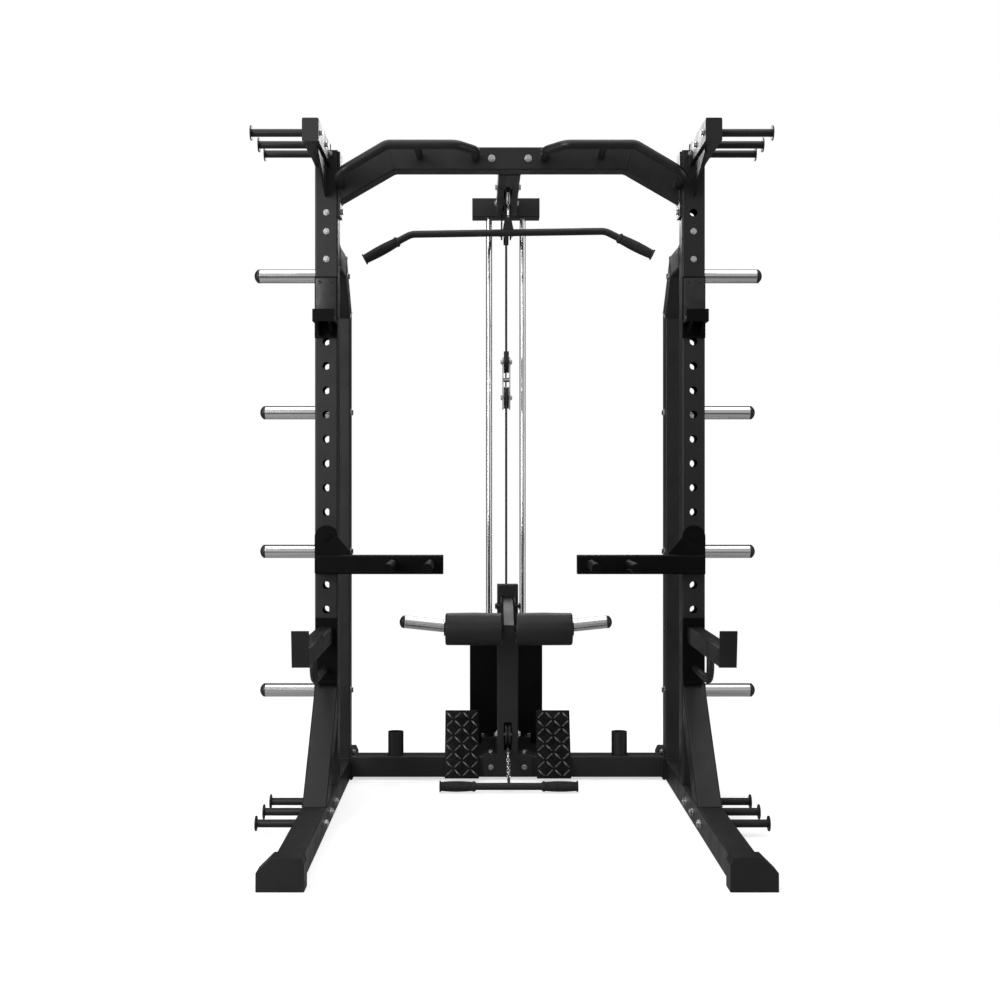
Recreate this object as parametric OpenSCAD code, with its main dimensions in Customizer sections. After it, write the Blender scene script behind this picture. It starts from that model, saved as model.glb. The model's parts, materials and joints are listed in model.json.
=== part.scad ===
// Power cage with a plate-loaded lat and low-row tower.
// X runs across the cage, +Y to the back, +Z up, and the floor is Z = 0.
// The layout below counts Y from the front face of the front uprights;
// piece() moves it so that the origin is at the middle of the footprint.

/* [Frame] */
// Width over the two front uprights
frame_w = 1280; // [1240:5:1320]
// Side of the square frame tube
tube = 75; // [70:1:80]
// Wall of the frame tube
tube_wall = 3; // [2:0.5:4]
// Outside corner radius of the frame tube
tube_r = 5; // [3:0.5:6]
// Height of the seam on top of the front uprights
upright_top = 1913; // [1900:1:1925]
// Height of the top arms' upper face
frame_h = 2174; // [2172:1:2190]
// Reach of the floor rails in front of the uprights
rail_front = 961; // [930:1:1000]
// Reach of the floor rails behind the uprights' front face
rail_back = 620; // [610:1:660]
// Back face of the rear frame tubes
rear_face = 493; // [485:1:500]

/* [Upright holes] */
// Diameter of the holes in the uprights
hole_d = 25; // [24:0.5:26]
// Distance between holes
hole_pitch = 80; // [80:1:80]
// Height of the lowest hole
hole_low = 487; // [485:1:490]
// Number of holes at the pitch
hole_count = 16; // [16:1:16]

/* [Tower] */
// Height of the low face of the top beam
beam_low = 2090; // [2085:1:2095]
// Distance from the middle to each guide rod
rod_x = 65; // [62:1:70]
// Distance back to the guide rods
rod_y = 840; // [835:1:845]
// Diameter of the guide rods
rod_d = 24; // [20:1:25]
// Diameter of the pulleys
pulley_d = 84; // [80:1:86]
// Width of the pulleys
pulley_w = 19; // [16:1:20]
// Diameter of the steel cable in its sleeve
cable_d = 6; // [5:0.5:6]

/* [Plate storage] */
// Diameter of the chrome plate pegs
peg_d = 48; // [46:1:50]
// Length of a plate peg with its cap
peg_len = 252; // [230:1:260]
// Diameter of the band pegs
band_d = 24; // [20:1:26]

/* [Attachments] */
// Height of the holes that hold the J-cups
jcup_hole = 1687; // [1687:80:1687]
// Height of the spotter arms' middle
spotter_z = 564; // [560:1:568]
// Length of the spotter arms in front of the uprights
spotter_len = 610; // [560:5:640]
// Diameter of the dip handles
dip_handle_d = 32; // [28:1:36]

/* [Bars and rollers] */
// Half the width of the lat bar, to its tips
lat_half = 507; // [490:1:520]
// Diameter of the lat and low bars
bar_d = 25; // [24:1:28]
// Half the length of the low bar
low_half = 238; // [220:1:250]
// Diameter of the foam rollers
roller_d = 110; // [100:1:115]

/* [Hidden] */
$fn = 48;
side_x = frame_w / 2 - tube / 2;          // middle of each upright
inner_x = frame_w / 2 - tube;             // inner face of each upright
outer_x = frame_w / 2;                    // outer face of each upright
flange_d = 86;                            // carriage's plate flanges
tower_back = rod_y + flange_d / 2;        // their back is the part's back
origin_y = (rail_front - tower_back) / 2; // centre of the footprint
gap = 0.3;                                // space between pieces that part
fit = 0.06;                               // radial clearance of a running fit
seam = 0.01;                              // half the seam between welded lengths of tube
big = 900;

// colours
coat = "#211f1f";
chrome = "#d8d8d8";
steel = "#b8b8b8";
plastic = "#151515";
foam = "#1c1c1c";
rubber = "#101010";

// heights and places worked out from the sizes above
rail_top = tube;
rear_y = rear_face - tube / 2;            // middle of the rear tubes
rear_top = 1857;
beam_z = beam_low + tube / 2;
beam_back = 804;
cross_low = 10;                           // crossbeam's space over the floor
cross_top = cross_low + tube;
saddle_t = 8;
column_low = cross_top + saddle_t;
column_top = 698;
pulley_run = pulley_d / 2 - 4;            // radius of the cable's middle line
lat_y = 322;                              // lat bar and its cable
top_pulley_z = 2110;
front_pulley_y = lat_y + pulley_run;
block_y = 711;
block_upper_z = 1523;
block_lower_z = 1388;
mid_pulley_y = block_y - 2 * pulley_run;  // second pulley inside the beam
hung_pulley_y = block_y + 2 * pulley_run; // pulley hung under the beam
hung_pulley_z = 2021;
carriage_cable_y = hung_pulley_y + pulley_run;
low_pulley_y = 440;
low_pulley_z = 160;
low_run_z = low_pulley_z - pulley_run;    // cable along the base
axle_d = 12;

// ---------- helpers ----------

// Colours its children and moves them from the layout to the part's frame.
module piece(c) {
    color(c) translate([0, origin_y, 0]) children();
}

// The left side is the right side mirrored: s is -1 or +1.
module side(s) {
    mirror([s < 0 ? 1 : 0, 0, 0]) children();
}

module both_sides() {
    for (s = [-1, 1]) side(s) children();
}

module round_rect(w, h, r) {
    square([w - 2 * r, h], center = true);
    square([w, h - 2 * r], center = true);
    for (x = [-1, 1], y = [-1, 1])
        translate([x * (w / 2 - r), y * (h / 2 - r)]) circle(r, $fn = 32);
}

module tube_section(w, h, wall = tube_wall) {
    difference() {
        round_rect(w, h, tube_r);
        square([w - 2 * wall, h - 2 * wall], center = true);
    }
}

// Extrudes a 2D child along Y; the child's x and y become X and Z.
module along_y(y0, y1) {
    translate([0, y1, 0]) rotate([90, 0, 0]) linear_extrude(y1 - y0) children();
}

// Extrudes a 2D child along X; the child's x and y become Y and Z.
module along_x(x0, x1) {
    translate([x0, 0, 0]) rotate([90, 0, 90]) linear_extrude(x1 - x0) children();
}

module along_z(z0, z1) {
    translate([0, 0, z0]) linear_extrude(z1 - z0) children();
}

module box(lo, hi) {
    translate(lo) cube(hi - lo);
}

module rod_x(x0, x1, y, z, d) {
    translate([x0, y, z]) rotate([0, 90, 0]) cylinder(d = d, h = x1 - x0);
}

module rod_y(x, y0, y1, z, d) {
    translate([x, y0, z]) rotate([-90, 0, 0]) cylinder(d = d, h = y1 - y0);
}

module rod_z(x, y, z0, z1, d) {
    translate([x, y, z0]) cylinder(d = d, h = z1 - z0);
}

// A round bar from a to b.
module rod(a, b, d) {
    v = b - a;
    translate(a) rotate([0, acos(v[2] / norm(v)), atan2(v[1], v[0])]) cylinder(d = d, h = norm(v));
}

function unit(v) = v / norm(v);

function turn(a, b) = acos(min(1, max(-1, a * b)));

// A round bar through a list of points, with a bend of radius r at each inner point.
module bent_rod(p, d, r) {
    last = len(p) - 1;
    dirs = [for (i = [0 : last - 1]) unit(p[i + 1] - p[i])];
    cut = [for (i = [0 : last]) i == 0 || i == last ? 0 : r * tan(turn(dirs[i - 1], dirs[i]) / 2)];
    for (i = [0 : last - 1]) rod(p[i] + cut[i] * dirs[i], p[i + 1] - cut[i + 1] * dirs[i], d);
    for (i = [1 : last - 1]) {
        y = dirs[i - 1];
        x = -unit(dirs[i] - (dirs[i] * y) * y);
        z = cross(x, y);
        c = p[i] - cut[i] * y - r * x;
        multmatrix([[x[0], y[0], z[0], c[0]], [x[1], y[1], z[1], c[1]], [x[2], y[2], z[2], c[2]]])
            rotate_extrude(angle = turn(y, dirs[i])) translate([r, 0]) circle(d = d);
    }
}

// Everything past the plane through p = [y, z] that faces the angle a.
module past(p, a) {
    translate([0, p[0], p[1]]) rotate([a, 0, 0]) translate([-big, 0, -big]) cube(2 * big);
}

// A square tube in the YZ plane through points [y, z], cut and mitred at each bend.
module bent_tube(p, w = tube, h = tube) {
    last = len(p) - 2;
    for (i = [0 : last]) {
        d = unit(p[i + 1] - p[i]);
        start = i > 0 ? unit(p[i] - p[i - 1]) + d : d;
        end = i < last ? d + unit(p[i + 2] - p[i + 1]) : d;
        difference() {
            translate([0, p[i][0], p[i][1]]) rotate([atan2(d[1], d[0]), 0, 0])
                along_y(-h, norm(p[i + 1] - p[i]) + h) tube_section(w, h);
            past(p[i] + (i > 0 ? seam : 0) * d, atan2(-start[1], -start[0]));
            past(p[i + 1] - (i < last ? seam : 0) * d, atan2(end[1], end[0]));
        }
    }
}

// A hexagon bolt head along an axis: dir is the direction that it sticks out.
module bolt_head(p, dir, d = 19, h = 8) {
    translate(p) rotate([0, acos(dir[2]), atan2(dir[1], dir[0])]) {
        cylinder(d = 1.35 * d, h = 2);
        translate([0, 0, 2]) cylinder(d = d, h = h - 2, $fn = 6);
    }
}

// ---------- frame ----------

function hole_z(i) = hole_low + i * hole_pitch;

module upright(s) {
    piece(coat) side(s) difference() {
        translate([side_x, tube / 2, 0]) along_z(rail_top, upright_top) tube_section(tube, tube);
        for (i = [0 : hole_count - 1]) rod_y(side_x, -1, tube + 1, hole_z(i), hole_d);
    }
}

module upright_left() upright(-1);
module upright_right() upright(1);

arm_w = 51;                // top arm's width
arm_low = frame_h - 72;    // top arm's lower face
arm_front = -329;
post_top = 2155;
post_hole_z = 1950;        // open on the right, with a bolt in it on the left
post_bolt_z = [1797, 1888];

module top_arm(s) {
    piece(coat) side(s) {
        difference() {
            translate([side_x, tube / 2, 0]) along_z(upright_top, post_top - 4) tube_section(tube, tube);
            if (s > 0) rod_y(side_x, -1, tube + 1, post_hole_z, hole_d);
        }
        translate([side_x, tube / 2, 0]) along_z(post_top - 4, post_top) round_rect(tube, tube, tube_r);
        translate([outer_x - arm_w / 2, 0, (arm_low + frame_h) / 2]) {
            along_y(arm_front + 4, 0) tube_section(arm_w, frame_h - arm_low);
            along_y(arm_front, arm_front + 4) round_rect(arm_w, frame_h - arm_low, tube_r);
        }
        along_x(side_x - 4, side_x + 4)
            polygon([[0, 2002], [0, arm_low], [-250, arm_low], [-250, arm_low - 12], [-18, 2002]]);
    }
}

module top_arm_left() top_arm(-1);
module top_arm_right() top_arm(1);

foot_len = 64;             // length of the wedge-shaped foot
foot_top = 89;

// A wedge-shaped foot around the rail's end, from y0 to y1.
module rail_foot(y0, y1) {
    along_y(y0, y1) polygon([
        [inner_x - 13, 0], [outer_x + 38, 0], [outer_x + 38, 49.5],
        [outer_x - 2, foot_top], [inner_x - 4, foot_top], [inner_x - 13, 70]
    ]);
}

module floor_rail(s) {
    piece(coat) side(s) {
        translate([side_x, 0, tube / 2])
            along_y(foot_len - rail_front, rail_back - foot_len) tube_section(tube, tube);
        rail_foot(-rail_front, foot_len - rail_front);
        rail_foot(rail_back - foot_len, rail_back);
    }
}

module floor_rail_left() floor_rail(-1);
module floor_rail_right() floor_rail(1);

brace_up = 405;            // height at which the brace's front meets the upright
brace_out = 330;           // reach at which it meets the rail

module front_brace(s) {
    piece(coat) side(s) translate([side_x, 0, 0]) difference() {
        translate([0, -brace_out, rail_top])
            rotate([atan2(brace_up - rail_top, brace_out), 0, 0]) translate([0, 0, -tube / 2])
                along_y(-tube, 2 * brace_out) tube_section(tube, tube);
        past([0, 0], 0);
        past([0, rail_top], -90);
    }
}

module front_brace_left() front_brace(-1);
module front_brace_right() front_brace(1);

module rear_frame(s) {
    piece(coat) side(s) translate([side_x, 0, 0]) bent_tube([
        [rear_y, rail_top], [rear_y, 1669.5],
        [297.5, rear_top - tube / 2], [tube, rear_top - tube / 2]
    ]);
}

module rear_frame_left() rear_frame(-1);
module rear_frame_right() rear_frame(1);

peg_cap = 20;
// Each plate peg's place on the rear frame, as [y, z].
peg_places = [[rear_y, 317], [rear_y, 817], [rear_y, 1317], [330, 1790]];

module plate_pegs() {
    piece(chrome) both_sides() for (p = peg_places) {
        rod_x(outer_x + 6, outer_x + peg_len - peg_cap, p[0], p[1], peg_d);
        rod_x(outer_x, outer_x + 6, p[0], p[1], peg_d + 14);
        bolt_head([inner_x, p[0], p[1]], [-1, 0, 0]);
    }
}

// Domed plastic caps on the outer ends of the plate pegs.
module peg_caps() {
    piece(plastic) both_sides() for (p = peg_places)
        translate([outer_x + peg_len - peg_cap, p[0], p[1]]) rotate([0, 90, 0]) dome_cap();
}

// A round cap, as wide as the peg so that plates slide over it, whose outer end is part of a ball.
module dome_cap() {
    rotate_extrude() intersection() {
        square([peg_d / 2, peg_cap]);
        translate([0, peg_cap - 0.6 * peg_d]) circle(0.6 * peg_d);
    }
}

band_len_top = 163;
band_len_low = 133;
top_band_y = [-286, -137, -15];
low_band_y = [-87, -228, -378];

module band_peg(y, z, l) {
    rod_x(outer_x, outer_x + l - 4, y, z, band_d);
    rod_x(outer_x + l - 4, outer_x + l, y, z, 46);
    rod_x(outer_x, outer_x + 3, y, z, 40);
}

module band_pegs() {
    piece(coat) both_sides() {
        for (y = top_band_y) band_peg(y, 2138, band_len_top);
        for (y = low_band_y) band_peg(y, tube / 2, band_len_low);
    }
}

bend_x = 389;              // where the crossmember's middle line bends
cross_end = inner_x + 50;  // its ends are cut off square at the flanges
cross_drop = (cross_end - bend_x) * tan(30);
flange_t = 8;

// A flat tube across the top with both ends bent down to the posts.
module top_crossmember() {
    piece(coat) {
        difference() {
            translate([0, tube / 2, 0]) rotate([0, 0, -90]) bent_tube([
                [-cross_end, beam_z - cross_drop], [-bend_x, beam_z],
                [bend_x, beam_z], [cross_end, beam_z - cross_drop]
            ]);
            both_sides() box([inner_x - flange_t, -tube, 1900], [inner_x + 2 * tube, 2 * tube, 2300]);
        }
        both_sides() box([inner_x - flange_t, 0, 1938], [inner_x, tube, 2150]);
    }
}

handle_d = 30;
handle_y = -155;
handle_bend = 45;
handle_sides = 20;
bend_steps = 6;
handle_route = [
    [113, 0, 2130], [113, -95, 2130], [174, handle_y, 2135],
    [394, handle_y, 2135], [552, handle_y, 2042], [552, 0, 2042]
];

// The route's points, with each inner corner turned into an arc of radius r.
function rounded(p, r) = [
    p[0],
    for (i = [1 : len(p) - 2])
        let (a = unit(p[i] - p[i - 1]), b = unit(p[i + 1] - p[i]), t = turn(a, b),
             n = unit(b - (a * b) * a), start = p[i] - r * tan(t / 2) * a)
            for (k = [0 : bend_steps])
                let (w = t * k / bend_steps) start + r * sin(w) * a + r * (1 - cos(w)) * n,
    p[len(p) - 1]
];

// One ring of a swept bar, square to the direction t at the point c.
function ring_points(c, t, r, n) =
    let (u = unit(cross([0, 0, 1], t)), v = cross(t, u))
        [for (k = [0 : n - 1]) c + r * cos(360 * k / n) * u + r * sin(360 * k / n) * v];

// A round bar swept along points p; no stretch of it may be upright.
module swept_rod(p, d, n) {
    last = len(p) - 1;
    rings = [for (i = [0 : last])
        ring_points(p[i], unit(unit(p[min(i + 1, last)] - p[min(i, last - 1)])
                               + unit(p[max(i, 1)] - p[max(i - 1, 0)])), d / 2, n)];
    polyhedron(
        [for (ring = rings) each ring],
        [
            [for (k = [0 : n - 1]) k],
            [for (k = [0 : n - 1]) last * n + n - 1 - k],
            for (i = [0 : last - 1], k = [0 : n - 1])
                [i * n + k, (i + 1) * n + k, (i + 1) * n + (k + 1) % n, i * n + (k + 1) % n]
        ]
    );
}

// Two bent pull-up bars in front of the crossmember, each on two ends and a stub.
module pullup_handles() {
    piece(coat) both_sides() {
        swept_rod(rounded(handle_route, handle_bend), handle_d, handle_sides);
        rod_y(297, handle_y, 0, 2135, handle_d - 6);
    }
}

crossbeam_half = inner_x;

module base_crossbeam() {
    piece(coat) {
        translate([0, rear_y, (cross_low + cross_top) / 2])
            along_x(8 - crossbeam_half, crossbeam_half - 8) tube_section(tube, tube);
        both_sides() box([crossbeam_half - 8, rear_y - tube / 2, 0], [crossbeam_half, rear_face, 105]);
    }
}

holder_x = 403;
holder_d = 56;
holder_bore = 51.4;
holder_top = 168;

// Two upright sleeves that hold the end of a barbell or a handle.
module bar_holders() {
    piece(coat) both_sides() difference() {
        rod_z(holder_x, rear_y, cross_top, holder_top, holder_d);
        rod_z(holder_x, rear_y, cross_top + 6, holder_top + 1, holder_bore);
    }
}

// ---------- tower ----------

module tower_column() {
    piece(coat) {
        difference() {
            translate([0, rear_y, 0]) along_z(column_low, column_top - 4) tube_section(tube, tube);
            box([-14, rear_y - tube, 106], [14, rear_y + 20, 206]);
            box([-8, rear_y, 114], [8, rear_y + tube, 134]);
            rod_x(-tube, tube, low_pulley_y, low_pulley_z, axle_d);
        }
        translate([0, rear_y, 0]) along_z(column_top - 4, column_top) round_rect(tube, tube, tube_r);
        // saddle over the crossbeam
        box([-88, rear_y - tube / 2 - saddle_t, 16], [88, rear_y - tube / 2, column_low]);
        box([-88, rear_y - tube / 2, cross_top], [88, rear_face, column_low]);
        box([-88, rear_face, 16], [88, rear_face + saddle_t, column_low]);
    }
}

back_y = 842.5;            // middle of the tower's rear cross member

// The tube that runs back from the crossbeam, and the cross member under the rods.
module tower_base() {
    piece(coat) {
        translate([0, 0, (cross_low + cross_top) / 2])
            along_y(rear_face + saddle_t, back_y - tube / 2) tube_section(tube, tube);
        translate([0, back_y, (cross_low + cross_top) / 2]) {
            along_x(-186, 186) tube_section(tube, tube);
            for (x = [-190, 186]) along_x(x, x + 4) round_rect(tube, tube, tube_r);
        }
        for (x = [-150, 150]) rod_z(x, back_y, 0, cross_low, 60);
        rod_z(0, rear_face + 80, 0, cross_low, 60);
        // ears of the base pulley and the eye that ends the low cable
        for (x = [-20, 14]) difference() {
            box([x, mid_pulley_y - 28, cross_top], [x + 6, mid_pulley_y + 28, 186]);
            rod_x(x - 1, x + 7, mid_pulley_y, low_pulley_z, axle_d);
        }
        box([-4, block_y + pulley_run - 14, cross_top], [4, block_y + pulley_run + 14, 112]);
    }
}

box_half = 130;

module top_beam() {
    piece(coat) {
        difference() {
            translate([0, 0, beam_z]) along_y(tube, beam_back) tube_section(tube, tube);
            box([-14, front_pulley_y - 95, beam_low - 1], [14, front_pulley_y + 95, beam_low + 4]);
            box([-14, mid_pulley_y - 50, beam_low - 1], [14, mid_pulley_y + 50, beam_low + 4]);
            for (y = [front_pulley_y, mid_pulley_y]) rod_x(-tube, tube, y, top_pulley_z, axle_d);
        }
        translate([0, back_y - 0.5, beam_z]) {
            along_x(4 - box_half, box_half - 4) tube_section(tube, tube);
            for (x = [-box_half, box_half - 4]) along_x(x, x + 4) round_rect(tube, tube, tube_r);
        }
        // hanger plates of the pulley under the beam
        for (x = [-20, 14]) difference() {
            box([x, hung_pulley_y - 25, hung_pulley_z - 20], [x + 6, hung_pulley_y + 14, beam_low]);
            rod_x(x - 1, x + 7, hung_pulley_y, hung_pulley_z, axle_d);
        }
    }
}

guard_half = 139;
guard_low = 103;
guard_top = 500;

// A bent sheet in front of the carriage, with two straps to the cross member.
module guard_panel() {
    piece(coat) {
        box([-guard_half, 775, guard_low], [guard_half, 778, guard_top]);
        both_sides() {
            box([guard_half - 3, 778, guard_low], [guard_half, 800, guard_top]);
            box([95, 778, guard_low], [125, back_y - tube / 2, guard_low + 3]);
            box([95, back_y - tube / 2 - 3, 60], [125, back_y - tube / 2, guard_low + 3]);
        }
    }
}

module guide_rods() {
    piece(chrome) both_sides() rod_z(rod_x, rod_y, cross_top, beam_low, rod_d);
}

stop_top = 412;

// A spacer tube and a rubber ring on each rod, which the carriage rests on.
module carriage_stops() {
    piece(rubber) both_sides() difference() {
        union() {
            rod_z(rod_x, rod_y, cross_top, stop_top - 28, rod_d + 14);
            rod_z(rod_x, rod_y, stop_top - 28, stop_top, rod_d + 26);
        }
        rod_z(rod_x, rod_y, cross_top - 1, stop_top + 1, rod_d + 0.6);
    }
}

plate_in = 103;            // inner edge of each foot plate
plate_out = 225;
plate_low = [375, 15];     // lower edge of its tread, as [y, z]
plate_high = [483, 240];
tread_t = 6;
tread_len = norm(plate_high - plate_low);
tread_lean = atan2(plate_high[1] - plate_low[1], plate_high[0] - plate_low[0]);

// Where the tread's back face is at the height z.
function tread_back(z) =
    plate_low[0] + (tread_t + cos(tread_lean) * (z - plate_low[1])) / sin(tread_lean);

// Treads with raised bars in the crossed pattern of chequer plate.
module foot_plates() {
    piece(plastic) both_sides() translate([0, plate_low[0], plate_low[1]]) rotate([tread_lean, 0, 0]) {
        box([plate_in, 0, -tread_t], [plate_out, tread_len, 0]);
        for (row = [0 : 8], col = [0 : 3])
            translate([plate_in + 16 + col * 30, 16 + row * 25.5, 0])
                rotate([0, 0, (row + col) % 2 == 0 ? 45 : -45])
                    box([-12, -3, -1], [12, 3, 1.8]);
    }
}

module foot_plate_brackets() {
    piece(coat) both_sides() for (x = [130, 190])
        along_x(x, x + 6) polygon([
            [rear_y - 28, cross_top], [rear_y + 30, cross_top], [plate_high[0] + 2, 214],
            [tread_back(214), 214], [tread_back(128), 128]
        ]);
}

pivot = [380, 626];        // knee arm's pivot, as [y, z]
roller_at = [200, 563];    // rollers' axle
ear_in = 20.4;

// Two ears on the column's front that carry the knee arm and its stop.
module knee_bracket() {
    piece(coat) {
        box([-34, rear_y - tube / 2 - 6, 585], [34, rear_y - tube / 2, 668]);
        for (x = [-ear_in - 7, ear_in])
            along_x(x, x + 7) polygon([
                [rear_y - tube / 2 - 6, 585], [rear_y - tube / 2 - 6, 664],
                [pivot[0] - 12, 656], [pivot[0] - 24, 640], [pivot[0] - 24, 582]
            ]);
        box([-ear_in, pivot[0] - 24, 582], [ear_in, pivot[0] - 8, 590]);
        rod_x(-38, 38, pivot[0], pivot[1], axle_d);
        bolt_head([38, pivot[0], pivot[1]], [1, 0, 0]);
        bolt_head([-38, pivot[0], pivot[1]], [-1, 0, 0]);
    }
}

// Bolts of the frame's joints, where their heads show.
module frame_bolts() {
    piece(steel) {
        both_sides() {
            for (z = [1958, 2100]) bolt_head([inner_x - 8, tube / 2, z], [-1, 0, 0]);
            bolt_head([crossbeam_half - 8, rear_y, 95], [-1, 0, 0], 14);
            bolt_head([60, rear_y - tube / 2 - saddle_t, 48], [0, -1, 0], 14);
            bolt_head([60, 0, beam_z], [0, -1, 0], 17.5);
            bolt_head([60, rear_y, column_low], [0, 0, 1]);
            for (y = top_band_y) bolt_head([outer_x - arm_w, y, 2138], [-1, 0, 0], 16);
            for (y = low_band_y) bolt_head([inner_x, y, tube / 2], [-1, 0, 0], 16);
        }
        both_sides() for (z = post_bolt_z) bolt_head([side_x, 0, z], [0, -1, 0], 15, 7);
        bolt_head([-side_x, 0, post_hole_z], [0, -1, 0], 15, 7);
    }
}

// ---------- pulleys and cables ----------

// A grooved wheel about an axle along X.
module pulley(y, z) {
    r = pulley_d / 2;
    w = pulley_w / 2;
    translate([0, y, z]) rotate([0, 90, 0]) rotate_extrude() difference() {
        translate([axle_d / 2 + fit, -w]) square([r - axle_d / 2 - fit, 2 * w]);
        translate([pulley_run, 0]) circle(d = cable_d + 1);
        translate([pulley_run, -cable_d / 2 - 0.5]) square([big, cable_d + 1]);
        for (k = [-1, 1]) translate([17, k * w - 2.5]) square([r - 24, 5]);
    }
}

module top_front_pulley() piece(plastic) pulley(front_pulley_y, top_pulley_z);
module top_middle_pulley() piece(plastic) pulley(mid_pulley_y, top_pulley_z);
module hung_pulley() piece(plastic) pulley(hung_pulley_y, hung_pulley_z);
module base_pulley() piece(plastic) pulley(mid_pulley_y, low_pulley_z);
module low_pulley() piece(plastic) pulley(low_pulley_y, low_pulley_z);
module block_upper_pulley() piece(plastic) pulley(block_y, block_upper_z);
module block_lower_pulley() piece(plastic) pulley(block_y, block_lower_z);

// An axle through both walls, with a head on one end and a nut on the other.
module pulley_axle(y, z, half) {
    rod_x(-half, half, y, z, axle_d);
    bolt_head([half, y, z], [1, 0, 0]);
    bolt_head([-half, y, z], [-1, 0, 0]);
}

module pulley_axles() {
    piece(steel) {
        pulley_axle(front_pulley_y, top_pulley_z, tube / 2);
        pulley_axle(mid_pulley_y, top_pulley_z, tube / 2);
        pulley_axle(hung_pulley_y, hung_pulley_z, 20);
        pulley_axle(mid_pulley_y, low_pulley_z, 20);
        pulley_axle(low_pulley_y, low_pulley_z, tube / 2);
    }
}

// A quarter or half turn of cable round a pulley, from angle a0 over sweep a.
module cable_wrap(y, z, a0, a) {
    translate([0, y, z]) rotate([0, 90, 0]) rotate([0, 0, a0])
        rotate_extrude(angle = a) translate([pulley_run, 0]) circle(d = cable_d);
}

module cable_z(y, z0, z1) {
    rod_z(0, y, z0, z1, cable_d);
}

// The stretches that stay where they are: along the beam and over its pulleys,
// over the hung pulley, and along the base.
module fixed_cables() {
    piece(steel) {
        cable_wrap(front_pulley_y, top_pulley_z, 180, 90);
        rod_y(0, front_pulley_y, mid_pulley_y, top_pulley_z + pulley_run, cable_d);
        cable_wrap(mid_pulley_y, top_pulley_z, 90, 90);
        cable_wrap(hung_pulley_y, hung_pulley_z, 90, 180);
        cable_wrap(mid_pulley_y, low_pulley_z, 0, 90);
        rod_y(0, low_pulley_y, mid_pulley_y, low_run_z, cable_d);
    }
}

// The four falls that run to the floating block, and their turns round its pulleys.
module block_cables() {
    piece(steel) {
        cable_z(block_y - pulley_run, block_upper_z, top_pulley_z);
        cable_wrap(block_y, block_upper_z, 270, 180);
        cable_z(block_y + pulley_run, block_upper_z, hung_pulley_z);
        cable_z(block_y - pulley_run, low_pulley_z, block_lower_z);
        cable_wrap(block_y, block_lower_z, 90, 180);
        cable_z(block_y + pulley_run, 112, block_lower_z);
    }
}

block_in = 11;             // inner face of each side plate

// Two side plates with their bolts, which carry the two floating pulleys.
module block_plates() {
    mid = (block_upper_z + block_lower_z) / 2;
    piece(steel) {
        for (x = [-block_in - 4, block_in])
            difference() {
                union() {
                    box([x, block_y - 16, block_lower_z - 30], [x + 4, block_y + 16, block_upper_z - 6]);
                    rod_x(x, x + 4, block_y, block_lower_z - 30, 32);
                    rod_x(x, x + 4, block_y, block_upper_z, 40);
                }
                for (z = [block_upper_z, block_lower_z]) rod_x(x - 1, x + 5, block_y, z, axle_d);
            }
        for (z = [block_upper_z, block_lower_z]) {
            rod_x(-block_in - 4, block_in + 4, block_y, z, axle_d);
            bolt_head([block_in + 4, block_y, z], [1, 0, 0], 17, 7);
            bolt_head([-block_in - 4, block_y, z], [-1, 0, 0], 17, 7);
        }
        rod_x(-block_in, block_in, block_y, mid, 18);
    }
}

// ---------- carriage ----------

sleeve_d = 44;
sleeve_low = stop_top + gap;
sleeve_top = 556;
horn_root = [98, 494];     // start of a horn's middle line, as [x, z]
horn_tip = [412, 527];
lug_z = 590;

module carriage() {
    piece(coat) {
        difference() {
            union() {
                both_sides() rod_z(rod_x, rod_y, sleeve_low, sleeve_top, sleeve_d);
                box([-rod_x, rod_y - 14, 452], [rod_x, rod_y + 14, 528]);
                both_sides() box([rod_x, rod_y - 14, 462], [horn_root[0] - 4, rod_y + 14, 522]);
                both_sides() rod_x(horn_root[0] - 10, horn_root[0], rod_y, horn_root[1], flange_d);
                box([-5, carriage_cable_y - 14, 528], [5, carriage_cable_y + 14, lug_z]);
            }
            both_sides() rod_z(rod_x, rod_y, sleeve_low - 1, sleeve_top + 1, rod_d + 8);
        }
    }
}

// Plastic bushings, pressed into both ends of each sleeve.
module carriage_bushings() {
    piece(plastic) both_sides() for (z = [sleeve_low, sleeve_top - 40]) difference() {
        rod_z(rod_x, rod_y, z, z + 40, rod_d + 8);
        rod_z(rod_x, rod_y, z - 1, z + 41, rod_d + 2 * fit);
    }
}

module carriage_horns() {
    a = atan2(horn_tip[1] - horn_root[1], horn_tip[0] - horn_root[0]);
    l = norm(horn_tip - horn_root);
    piece(chrome) both_sides()
        translate([horn_root[0], rod_y, horn_root[1]]) rotate([0, 90 - a, 0]) {
            translate([0, 0, 6]) cylinder(d = peg_d, h = l - 6 - peg_cap);
            translate([0, 0, l - peg_cap]) dome_cap();
        }
}

module carriage_cable() {
    piece(steel) {
        cable_z(carriage_cable_y, lug_z, hung_pulley_z);
    }
}

// ---------- bars ----------

lat_z = 1942;
lat_bend = 341;
lat_slope = 27.5;
lat_drop = (lat_half - lat_bend) * tan(lat_slope);
lat_end = [lat_half - 9 * cos(lat_slope), 0, 9 * sin(lat_slope) - lat_drop];
hook_top = 2075;
grip_back = 135;
lat_tilt = 0.9;            // the bar hangs a little out of level

// The ball and stem on the cable's end, about which the hook turns.
module lat_swivel() {
    piece(steel) translate([0, lat_y, 0]) {
        rod_z(0, 0, hook_top - 25, hook_top, 14);
        rod_z(0, 0, hook_top, hook_top + 9, 10);
    }
}

// The snap hook: a stem, a long ring and the small ring in the bar's hanger.
module lat_hook() {
    piece(steel) translate([0, lat_y, 0]) {
        rod_z(0, 0, 2040, hook_top - 25 - gap, 9);
        ring(2026, 14, 7);
        ring(2004, 12, 6, 90);
    }
}

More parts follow.
